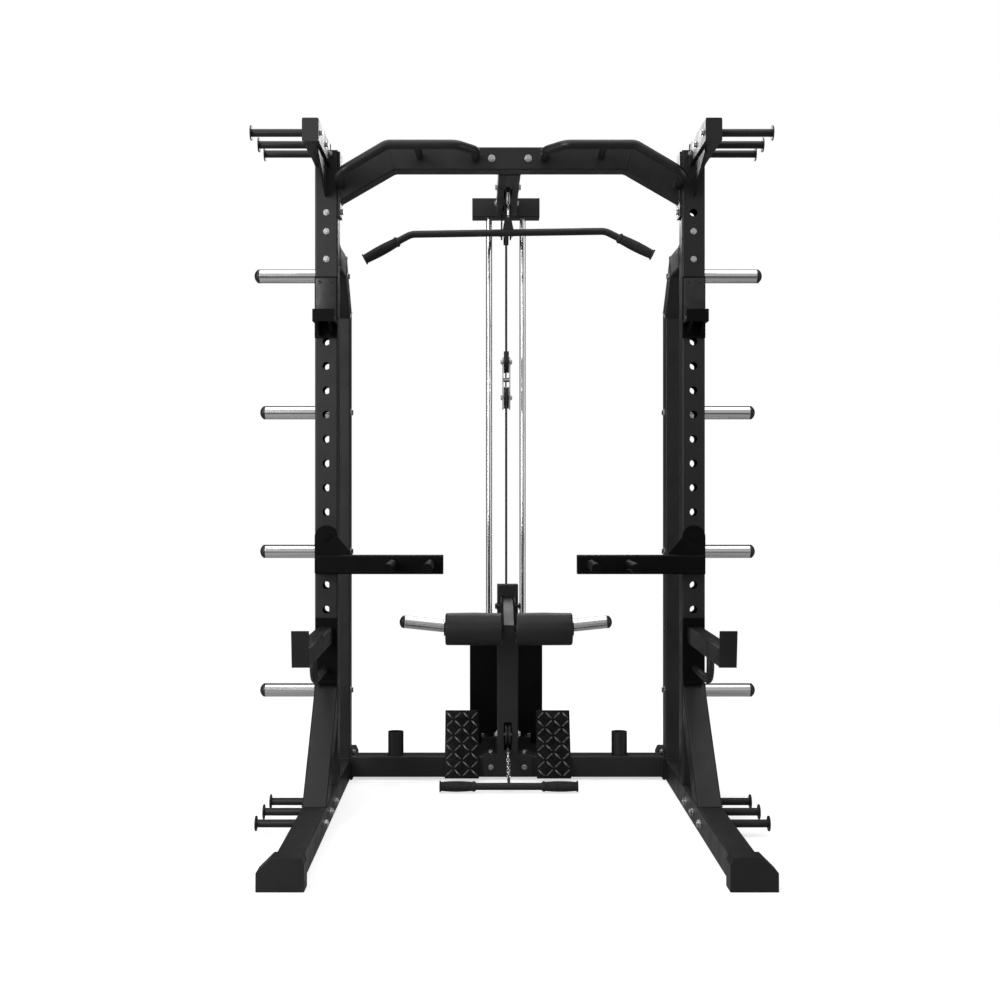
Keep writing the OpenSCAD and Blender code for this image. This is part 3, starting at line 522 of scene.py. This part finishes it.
def lat_grips():
    drop = (LAT_HALF - LAT_BEND) * math.tan(math.radians(LAT_SLOPE))
    bm = bmesh.new()
    for s in (1, -1):
        tip = lat_matrix() @ Vector((s * LAT_HALF * MM, 0, -drop * MM))
        root = lat_matrix() @ Vector((s * LAT_BEND * MM, 0, 0))
        add_lathe(bm, grip_profile(138 * MM, 17.5 * MM, BAR_R, 18), tip, root - tip, 40)
    obj = finish_piece(from_bmesh("lat_grips_moulded", bm), "rubber", "lat_bar", 25)
    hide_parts("lat_grips")


def low_grips():
    lo, hi = (Vector(c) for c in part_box("low_grips"))
    centre = (lo + hi) / 2
    bm = bmesh.new()
    for s, x in ((1, hi.x), (-1, lo.x)):
        grip = grip_profile(126 * MM, 17 * MM, BAR_R, 16)
        add_lathe(bm, grip, (x, centre.y, centre.z), (-s, 0, 0), 40)
    obj = finish_piece(from_bmesh("low_grips_moulded", bm), "rubber", "low_bar", 25)
    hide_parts("low_grips")


# ---------------------------------------------------------------- caps and nuts

HORN_Y = 840
HORN_ROOT = (98, 494)  # x and z
HORN_TIP = (412, 527)
HORN_R = 24.0
CAP_LENGTH = 20.5
CAP_INSET = 0.8
CAP_PROUD = 0.35  # the caps stand this far outside the horns' own ends
CAP_STEPS = 10
BAND_Y = (-87, -228, -378)  # of the low band pegs


def horn_caps():
    """Black domed caps over the ends of the carriage's horns."""
    ball = 1.2 * HORN_R  # radius of the dome's sphere
    rim = math.sqrt(ball ** 2 - HORN_R ** 2)
    profile = [(-CAP_LENGTH * MM, (HORN_R - CAP_INSET) * MM),
               (-CAP_LENGTH * MM, (HORN_R + CAP_PROUD) * MM)]
    for k in range(CAP_STEPS + 1):
        along = rim + (ball - rim) * math.sin(math.pi / 2 * k / CAP_STEPS)
        radius = math.sqrt(max(ball ** 2 - along ** 2, 0.04))
        profile.append(((along - ball + 0.3) * MM, (radius + CAP_PROUD) * MM))
    bm = bmesh.new()
    for s in (1, -1):
        tip = at(s * HORN_TIP[0], HORN_Y, HORN_TIP[1])
        out = (tip - at(s * HORN_ROOT[0], HORN_Y, HORN_ROOT[1])).normalized()
        add_lathe(bm, profile, tip, out, 40)
    finish_piece(from_bmesh("horn_caps", bm), "black_plastic", "carriage", 50)


def band_nuts():
    """Flanged nuts on the bolts that hold the low band pegs, inside each rail."""
    flange = [(0, 4 * MM), (0, 14 * MM), (1.2 * MM, 14.5 * MM), (2.6 * MM, 13.2 * MM),
              (2.6 * MM, 4 * MM)]
    nut = [(2.4 * MM, 4 * MM), (2.4 * MM, 11.5 * MM), (3.4 * MM, 12.4 * MM),
           (9.4 * MM, 12.4 * MM), (10.6 * MM, 10.8 * MM), (10.6 * MM, 6.4 * MM),
           (12 * MM, 6.4 * MM), (12.8 * MM, 5.6 * MM), (12.8 * MM, 0.5 * MM)]
    bm = bmesh.new()
    for s in (1, -1):
        for y in BAND_Y:
            p = at(s * INNER_X / MM, y, TUBE / 2)
            add_lathe(bm, flange, p, (-s, 0, 0), 32)
            add_lathe(bm, nut, p, (-s, 0, 0), 6)
    finish_piece(from_bmesh("band_nuts", bm), "steel", "root", 25)


# ---------------------------------------------------------------- foot plates

PLATE_IN = 103
PLATE_OUT = 225
PLATE_LOW = (375, 15)  # y and z of the face's lower edge
PLATE_HIGH = (483, 240)
PLATE_THICK = 6
TREAD_PITCH = 30
TREAD_BAR = (34, 9.5)  # length and width
TREAD_RISE = 3
TREAD_SINK = 0.2  # the bars' undersides are this far inside the plate


def add_tread_bar(bm, matrix, length, width, rise):
    """One raised bar of chequer plate: a lens with a domed top."""
    n = 14
    rings = []
    for grow, height in ((1.0, 0.0), (0.82, 0.65), (0.45, 1.0)):
        ring = []
        for k in range(n):
            t = 2 * math.pi * k / n
            x = math.cos(t)
            y = math.sin(t) * (1 - 0.35 * x * x)
            p = Vector((grow * x * length / 2, grow * y * width / 2, height * rise))
            ring.append(bm.verts.new(matrix @ p))
        rings.append(ring)
    for a, b in zip(rings, rings[1:]):
        for k in range(n):
            m = (k + 1) % n
            bm.faces.new((a[k], a[m], b[m], b[k]))
    bm.faces.new(rings[-1])
    bm.faces.new(rings[0][::-1])


def foot_plates():
    """The sloping plates, and on them bars that lie at 45 degrees one way and the other in turn."""
    bm = bmesh.new()
    bars = bmesh.new()
    rise = math.atan2(PLATE_HIGH[1] - PLATE_LOW[1], PLATE_HIGH[0] - PLATE_LOW[0])
    length = math.hypot(PLATE_HIGH[1] - PLATE_LOW[1], PLATE_HIGH[0] - PLATE_LOW[0])
    width = PLATE_OUT - PLATE_IN
    for s in (1, -1):
        x0 = PLATE_IN if s > 0 else -PLATE_OUT
        base = Matrix.Translation(at(x0, *PLATE_LOW)) @ Matrix.Rotation(rise, 4, "X")
        add_block(bm, (0, 0, -PLATE_THICK * MM), (width * MM, length * MM, 0), 1.8 * MM, base)
        columns = int((width - 2) // TREAD_PITCH)
        rows = int((length - 2) // TREAD_PITCH)
        for c in range(columns):
            for r in range(rows):
                x = width / 2 + (c - (columns - 1) / 2) * TREAD_PITCH
                y = length / 2 + (r - (rows - 1) / 2) * TREAD_PITCH
                turn = math.radians(45 if (c + r) % 2 else -45) * s
                place = (base @ Matrix.Translation((x * MM, y * MM, -TREAD_SINK * MM))
                         @ Matrix.Rotation(turn, 4, "Z"))
                add_tread_bar(bars, place, TREAD_BAR[0] * MM, TREAD_BAR[1] * MM,
                              (TREAD_RISE + TREAD_SINK) * MM)
    obj = finish_piece(from_bmesh("foot_plates_plain", bm), "tread_plate", "root", 40)
    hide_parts("foot_plates")
    obj = finish_piece(from_bmesh("foot_plates_bars", bars), "tread_plate", "root", 40)
    obj.data.materials[0] = TREAD_BARS


# ---------------------------------------------------------------- cables

CABLE_R = 3 * MM
PULLEY_RUN = 38  # from a pulley's axis to the middle of the cable on it
LAT_Y = 322
TOP_Z = 2110
HUNG_Z = 2021
BLOCK_Y = 711
BLOCK_UPPER_Z = 1523
BLOCK_LOWER_Z = 1388
BASE_Z = 160
MID_Y = BLOCK_Y - 2 * PULLEY_RUN
HUNG_Y = BLOCK_Y + 2 * PULLEY_RUN
LOW_PULLEY_Y = 440
CARRIAGE_END_Z = 588  # heights at which cables end
LAT_END_Z = 2078
ANCHOR_Z = 112
LOW_END = (398, 116)  # y and z


def cable(name, points, body=None):
    bm = bmesh.new()
    add_tube(bm, points, CABLE_R, 16)
    return finish_piece(from_bmesh(name, bm), "cable", body)


def stretched_cable(name, start, end):
    """A straight fall of cable from start to end, its placement baked into its mesh."""
    obj = cable(name, [start, end])
    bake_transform(obj)
    return obj


def cables():
    """Both cables: what lies on the pulleys, and the straight falls between them."""
    run = PULLEY_RUN * MM
    beam = arc(at(0, LAT_Y + PULLEY_RUN, TOP_Z), run, 180, 90)
    beam += arc(at(0, MID_Y, TOP_Z), run, 90, 0)
    fixed = cable("cable_in_beam", beam, "root")
    cable("cable_over_hung_pulley", arc(at(0, HUNG_Y, HUNG_Z), run, 180, 0, 28), "root")
    base = arc(at(0, MID_Y, BASE_Z), run, 0, -90)
    cable("cable_along_base", base + [at(0, LOW_PULLEY_Y, BASE_Z - PULLEY_RUN)], "root")
    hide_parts("fixed_cables")

    upper = arc(at(0, BLOCK_Y, BLOCK_UPPER_Z), run, 180, 360, 28)
    wrap = cable("cable_round_block_top", upper, "pulley_block")
    lower = arc(at(0, BLOCK_Y, BLOCK_LOWER_Z), run, 180, 0, 28)
    cable("cable_round_block_foot", lower, "pulley_block")
    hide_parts("block_cables")
    front_y = BLOCK_Y - PULLEY_RUN
    back_y = BLOCK_Y + PULLEY_RUN
    falls = [("a", front_y, TOP_Z, BLOCK_UPPER_Z), ("b", back_y, HUNG_Z, BLOCK_UPPER_Z),
             ("c", front_y, BASE_Z, BLOCK_LOWER_Z), ("d", back_y, ANCHOR_Z, BLOCK_LOWER_Z)]
    for mark, y, fixed_z, block_z in falls:
        stretched_cable(f"cable_block_fall_{mark}",
                        at(0, y, fixed_z), at(0, y, block_z))

    lift_y = HUNG_Y + PULLEY_RUN
    lift = stretched_cable("cable_carriage_fall",
                           at(0, lift_y, HUNG_Z), at(0, lift_y, CARRIAGE_END_Z))
    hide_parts("carriage_cable")
    lat = stretched_cable("cable_lat_fall",
                          at(0, LAT_Y, TOP_Z), at(0, LAT_Y, LAT_END_Z))
    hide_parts("lat_bar_cable")
    low = stretched_cable("cable_low_fall",
                          at(0, LOW_PULLEY_Y, BASE_Z - PULLEY_RUN), at(0, *LOW_END))
    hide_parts("low_bar_cable")
    cable_fittings(lift_y)


def cable_fittings(lift_y):
    """Crimped sleeves where the cables end."""
    sleeve = [(0, 3.2 * MM), (0, 5.5 * MM), (1 * MM, 6.2 * MM), (24 * MM, 6.2 * MM),
              (26 * MM, 5 * MM), (26 * MM, 3.2 * MM)]
    for name, p, axis, body in (
        ("sleeve_carriage", at(0, lift_y, CARRIAGE_END_Z), (0, 0, 1), "carriage"),
        ("sleeve_anchor", at(0, BLOCK_Y + PULLEY_RUN, ANCHOR_Z), (0, 0, 1), "root"),
    ):
        bm = bmesh.new()
        add_lathe(bm, sleeve, p, axis, 24, bored=True)
        finish_piece(from_bmesh(name, bm), "steel", body)


# ---------------------------------------------------------------- hooks and chain


def oval(centre, along, across, length, width, steps=10):
    """Points of a closed loop with two straight sides."""
    a = Vector(along).normalized()
    b = Vector(across).normalized()
    r = width / 2
    run = length / 2 - r
    out = []
    for end, base in ((1, -90), (-1, 90)):
        for k in range(steps + 1):
            t = math.radians(base + 180 * k / steps)
            out.append(Vector(centre) + (end * run + r * math.cos(t)) * a + r * math.sin(t) * b)
    return out


def snap_hook(bm, top, along, across, length, width, wire):
    """A snap hook: a loop of wire with a thicker gate on one side."""
    a = Vector(along).normalized()
    centre = Vector(top) + a * length / 2
    add_tube(bm, oval(centre, a, across, length - wire, width), wire / 2, 12, closed=True)
    side = Vector(across).normalized() * width / 2
    reach = length * 0.2
    gate = [(-reach, wire * 0.45), (-reach, wire * 0.72), (reach, wire * 0.72),
            (reach, wire * 0.45)]
    add_lathe(bm, gate, centre + side, a, 20)


LAT_HOOK_Z = 2050
COLLAR_Z = 2043.5
HOOK_LENGTH = 62
HOOK_WIDTH = 26


def lat_hook():
    """The snap hook between the swivel and the lat bar, and the collar on its stem."""
    top = at(0, LAT_Y, LAT_HOOK_Z)
    bm = bmesh.new()
    snap_hook(bm, top, (0, 0, -1), (0, 1, 0), HOOK_LENGTH * MM, HOOK_WIDTH * MM, 7 * MM)
    collar = [(0, 2 * MM), (0, 6 * MM), (1 * MM, 7 * MM), (5 * MM, 7 * MM), (6 * MM, 6 * MM),
              (6 * MM, 2 * MM)]
    add_lathe(bm, collar, at(0, LAT_Y, COLLAR_Z), (0, 0, 1), 28, bored=True)
    obj = finish_piece(from_bmesh("lat_snap_hook", bm), "chrome", "lat_bar")
    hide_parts("lat_hook")


CHAIN_TOP = (394, 114)  # y and z
CHAIN_END = (222, 40)
LINK = 24
LINK_WIDTH = 15
LINK_WIRE = 4


def low_chain():
    """A snap hook and the links from it to the low bar, each a quarter turn from the last."""
    start = at(0, *CHAIN_TOP)
    end = at(0, *CHAIN_END)
    way = (end - start).normalized()
    normal = way.cross(Vector((1, 0, 0)))
    bm = bmesh.new()
    snap_hook(bm, start, way, normal, HOOK_LENGTH * MM, HOOK_WIDTH * MM, 6.5 * MM)
    reach = (end - start).length - (HOOK_LENGTH - LINK_WIRE) * MM
    count = max(2, round(reach / ((LINK - 2 * LINK_WIRE) * MM)))
    first = start + way * (HOOK_LENGTH - LINK_WIRE) * MM
    for k in range(count):
        centre = first + way * reach * (k + 0.5) / count
        across = Vector((1, 0, 0)) if k % 2 == 0 else normal
        link = oval(centre, way, across, (LINK - LINK_WIRE) * MM, (LINK_WIDTH - LINK_WIRE) * MM, 8)
        add_tube(bm, link, LINK_WIRE / 2 * MM, 10, closed=True)
    obj = finish_piece(from_bmesh("low_bar_chain", bm), "chrome", "low_bar")
    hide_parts("low_chain")


# ---------------------------------------------------------------- welds

WELD_R = 2.2 * MM
CORNER = 5  # radius of the tubes' corners
POST_MID_Y = TUBE / 2
POST_FRONT_Y = -1  # a bead's middle is a millimetre outside the face it runs on
POST_BACK_Y = TUBE + 1
RAIL_TOP_Z = TUBE + 1
BRACE_TOP_Z = 352
BRACE_FOOT_Y = -277
ARM_AT = (614.5, 2138.5)  # x and z of a top arm's back end
ARM_SIZE = (51, 72)
REAR_Y = 455.5  # middle of the rear frame's uprights
REAR_TOP_Z = 1819.5
REAR_LOW_BEND = (REAR_Y, 1669.5)  # y and z
REAR_HIGH_BEND = (297.5, REAR_TOP_Z)
CROSS_END = (556, 2031.1)  # x and z of the crossmember's end, at its flange
CROSS_BEND_X = 389
BEAM_Z = 2127.5
BEAM_END_Y = 803.5
BASE_END_X = 556
BASE_BEAM_Z = 47.5
COLUMN_FOOT_Z = 94
TOWER_BASE_END_Y = 804


def weld_loop(bm, centre, u, v, width, height):
    """A bead round a tube's outline, in the plane of u and v; sizes are in millimetres."""
    u, v = Vector(u).normalized(), Vector(v).normalized()
    w, h, r = width / 2 * MM, height / 2 * MM, CORNER * MM
    path = []
    for sx, sy, base in ((1, 1, 0), (-1, 1, 90), (-1, -1, 180), (1, -1, 270)):
        for k in range(4):
            t = math.radians(base + 30 * k)
            path.append(centre + (sx * (w - r) + r * math.cos(t)) * u
                        + (sy * (h - r) + r * math.sin(t)) * v)
    path = split_path(path + [path[0]], 7 * MM)[:-1]
    path = [p + Vector(RNG.uniform(-0.3, 0.3) * MM for _ in range(3)) for p in path]
    add_tube(bm, path, WELD_R, 8, closed=True)


def weld_bend(bm, x, before, p, after):
    """A bead round the mitre at p of a tube in the YZ plane, at x."""
    a = Vector(p) - Vector(before)
    b = Vector(after) - Vector(p)
    half = a.angle(b) / 2
    way = a.normalized() + b.normalized()
    weld_loop(bm, at(x, *p), (1, 0, 0), (0, -way.y, way.x), TUBE, TUBE / math.cos(half))


def welds():
    """Beads where the frame's tubes meet."""
    bm = bmesh.new()
    side_x = SIDE_X / MM
    across = Vector((1, 0, 0))
    lean = 1 / math.sin(math.radians(45))
    steep = TUBE / math.cos(math.radians(30))
    mitre = TUBE / math.cos(math.radians(15))
    for s in (1, -1):
        x = s * side_x
        weld_loop(bm, at(x, POST_FRONT_Y, BRACE_TOP_Z), across, (0, 0, 1), TUBE, TUBE * lean)
        weld_loop(bm, at(x, BRACE_FOOT_Y, RAIL_TOP_Z), across, (0, 1, 0), TUBE, TUBE * lean)
        weld_loop(bm, at(x, REAR_Y, RAIL_TOP_Z), across, (0, 1, 0), TUBE, TUBE)
        weld_loop(bm, at(x, POST_BACK_Y, REAR_TOP_Z), across, (0, 0, 1), TUBE, TUBE)
        arm = at(s * ARM_AT[0], POST_FRONT_Y, ARM_AT[1])
        weld_loop(bm, arm, across, (0, 0, 1), *ARM_SIZE)
        cross_end = at(s * CROSS_END[0], POST_MID_Y, CROSS_END[1])
        weld_loop(bm, cross_end, (0, 1, 0), (0, 0, 1), TUBE, steep)
        weld_bend(bm, x, (REAR_Y, TUBE), REAR_LOW_BEND, REAR_HIGH_BEND)
        weld_bend(bm, x, REAR_LOW_BEND, REAR_HIGH_BEND, (TUBE, REAR_TOP_Z))
        tilt = (s * math.sin(math.radians(15)), 0, math.cos(math.radians(15)))
        weld_loop(bm, at(s * CROSS_BEND_X, POST_MID_Y, BEAM_Z), (0, 1, 0), tilt, TUBE, mitre)
        base_end = at(s * BASE_END_X, REAR_Y, BASE_BEAM_Z)
        weld_loop(bm, base_end, (0, 1, 0), (0, 0, 1), TUBE, TUBE)
    weld_loop(bm, at(0, POST_BACK_Y, BEAM_Z), across, (0, 0, 1), TUBE, TUBE)
    weld_loop(bm, at(0, REAR_Y, COLUMN_FOOT_Z), across, (0, 1, 0), TUBE, TUBE)
    weld_loop(bm, at(0, BEAM_END_Y, BEAM_Z), across, (0, 0, 1), TUBE, TUBE)
    weld_loop(bm, at(0, TOWER_BASE_END_Y, BASE_BEAM_Z), across, (0, 0, 1), TUBE, TUBE)
    finish_piece(from_bmesh("weld_beads", bm), "black_coat", "root", 60)


# ---------------------------------------------------------------- J-cup liners

LINER_INSET = 3.2
LINER_SEAT = ((-88.5, 1593.5), (-7.5, 1602.8))  # y and z of two opposite corners
LINER_BACK = ((-15, 1600), (-7.5, 1733))
LINER_LIP = ((-88.5, 1600), (-83, 1621))
SCREW_OFFSET = 19
SCREW_AT = (-15.6, 1720)


def jcup_liner(side):
    """The plastic inside of a J-cup and the two screws that hold it."""
    s = 1 if side == "right" else -1
    inner, outer = INNER_X / MM + LINER_INSET, OUTER_X / MM - LINER_INSET
    bm = bmesh.new()
    for lo, hi in (LINER_SEAT, LINER_BACK, LINER_LIP):
        x0, x1 = sorted((s * inner, s * outer))
        add_block(bm, at(x0, *lo), at(x1, *hi), 1.6 * MM)
    finish_piece(from_bmesh(f"jcup_{side}_liner", bm), "black_plastic", f"jcup_{side}")
    bm = bmesh.new()
    screw = [(0, 1.5 * MM), (0, 5.5 * MM), (1 * MM, 5 * MM), (2.2 * MM, 3.5 * MM),
             (2.2 * MM, 2 * MM), (1 * MM, 1.8 * MM)]
    for offset in (-SCREW_OFFSET, SCREW_OFFSET):
        add_lathe(bm, screw, at(s * (SIDE_X / MM + offset), *SCREW_AT), (0, -1, 0), 24)
    finish_piece(from_bmesh(f"jcup_{side}_screws", bm), "black_plastic", f"jcup_{side}")


# ---------------------------------------------------------------- stage

FLOOR_NEAR = 1.4  # metres from the middle at which the floor starts to fade to white
FLOOR_FAR = 3.2
FLOOR_DIM = 0.12  # what rays other than the camera's get: the faded part's glow
FLOOR_BOUNCE = 0.42  # and the near part's base colour


def floor():
    """A white floor that takes soft shadows near the cage and fades to plain white.

    Only the camera sees it this bright: the cage reflects a dimmer one.
    """
    bm = bmesh.new()
    bmesh.ops.create_grid(bm, x_segments=1, y_segments=1, size=60)
    obj = from_bmesh("floor", bm)
    obj.location.z = -0.0005
    m, nt, b = new_material("studio_floor", (0.8, 0.8, 0.8), 0.8, Specular_IOR_Level=0.1)
    seen = nt.nodes.new("ShaderNodeLightPath").outputs["Is Camera Ray"]
    b.inputs["Emission Color"].default_value = (1, 1, 1, 1)
    nt.links.new(span(nt, seen, 0, 0.62, 0, 1), b.inputs["Emission Strength"])
    nt.links.new(span(nt, seen, FLOOR_BOUNCE, 0.8, 0, 1), b.inputs["Base Color"])
    away = nt.nodes.new("ShaderNodeVectorMath")
    away.operation = "LENGTH"
    nt.links.new(object_coords(nt), away.inputs[0])
    glow = nt.nodes.new("ShaderNodeEmission")
    nt.links.new(span(nt, seen, FLOOR_DIM, 1, 0, 1), glow.inputs["Strength"])
    mix = nt.nodes.new("ShaderNodeMixShader")
    nt.links.new(span(nt, away.outputs["Value"], 0, 1, FLOOR_NEAR, FLOOR_FAR), mix.inputs["Fac"])
    nt.links.new(b.outputs["BSDF"], mix.inputs[1])
    nt.links.new(glow.outputs["Emission"], mix.inputs[2])
    nt.links.new(mix.outputs["Shader"], nt.nodes["Material Output"].inputs["Surface"])
    obj.data.materials.append(m)


def area_light(name, place, target, size, power):
    data = bpy.data.lights.new(name, "AREA")
    data.shape = "RECTANGLE"
    data.size, data.size_y = size
    data.energy = power
    obj = bpy.data.objects.new(name, data)
    obj.location = place
    obj.rotation_euler = (Vector(target) - Vector(place)).to_track_quat("-Z", "Y").to_euler()
    obj.visible_camera = False
    bpy.context.collection.objects.link(obj)


ROOM_FRONT = 0.5  # strength of the room's light in front of the cage
ROOM_BACK = 0.05  # and behind it


def studio():
    """White to the camera; for light and reflections a room bright in front and dim behind."""
    world = bpy.data.worlds.new("studio")
    bpy.context.scene.world = world
    world.use_nodes = True
    nt = world.node_tree
    background = nt.nodes["Background"]
    coords = nt.nodes.new("ShaderNodeTexCoord")
    split = nt.nodes.new("ShaderNodeSeparateXYZ")
    nt.links.new(coords.outputs["Generated"], split.inputs["Vector"])
    room = span(nt, split.outputs["Y"], ROOM_FRONT, ROOM_BACK, -0.9, 0.1)
    mix = nt.nodes.new("ShaderNodeMix")
    mix.inputs["B"].default_value = 1.0
    path = nt.nodes.new("ShaderNodeLightPath")
    nt.links.new(path.outputs["Is Camera Ray"], mix.inputs["Factor"])
    nt.links.new(room, mix.inputs["A"])
    nt.links.new(mix.outputs["Result"], background.inputs["Strength"])
    background.inputs["Color"].default_value = (1, 1, 1, 1)
    area_light("key", (-2.6, -3.4, 2.3), (0, 0, 0.9), (1.4, 3.2), 105)
    area_light("top", (0, -0.2, 4.2), (0, 0, 0), (3.4, 3.4), 68)
    for x in (-3.2, 3.2):
        area_light("side", (x, -0.6, 1.3), (0, 0.6, 1.1), (2.2, 3.0), 24)
    area_light("back", (0, 2.7, 2.8), (0, 0.3, 0.6), (1.4, 1.0), 22)
    scene = bpy.context.scene
    scene.view_settings.view_transform = "Standard"
    scene.view_settings.look = "None"


pullup_handles()
knee_roller("left")
knee_roller("right")
lat_grips()
low_grips()
foot_plates()
cables()
lat_hook()
low_chain()
welds()
horn_caps()
band_nuts()
jcup_liner("left")
jcup_liner("right")
floor()
studio()
